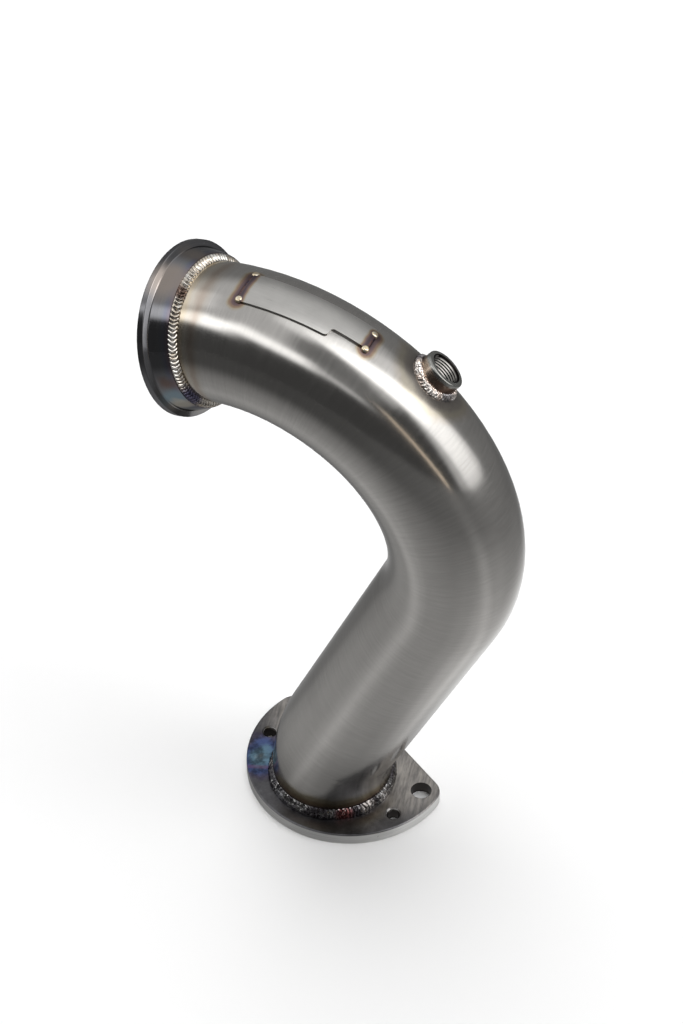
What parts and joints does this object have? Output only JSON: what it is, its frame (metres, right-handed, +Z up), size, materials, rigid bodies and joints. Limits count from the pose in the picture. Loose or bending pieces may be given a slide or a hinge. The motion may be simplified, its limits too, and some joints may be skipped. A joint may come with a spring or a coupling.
{
  "type": "exhaust downpipe",
  "caption": "Large-bore stainless exhaust downpipe: S-bent tube with a V-band flange, a welded sensor boss, a bare plate and a flat bolted outlet flange.",
  "frame": {"origin": "centre of the outlet bore on the outlet flange's flat sealing face", "axes": "+Z up out of the outlet flange along the tube's first straight, +X the outlet flange's mirror axis towards its two through holes' side, the inlet lies towards +Y at the top"},
  "size_m": [0.1446, 0.2065, 0.4183],
  "materials": {
    "tube": "satin stainless, heat tinted by the welds",
    "inlet_flange": "turned and polished",
    "outlet_flange": "linished, heat tinted",
    "boss": "turned, heat tinted",
    "plate": "satin",
    "weld": "as welded, rippled"
  },
  "bodies": {
    "root": {"bent_tube": "tube", "inlet_flange": "inlet_flange", "inlet_weld": "weld", "outlet_flange": "outlet_flange", "outlet_weld": "weld", "sensor_boss": "boss", "boss_weld": "weld", "face_plate": "plate", "plate_tack_1": "weld", "plate_tack_2": "weld", "plate_tack_3": "weld", "plate_tack_4": "weld", "plate_inlet_bead": "weld", "plate_outlet_bead": "weld"}
  },
  "joints": []
}
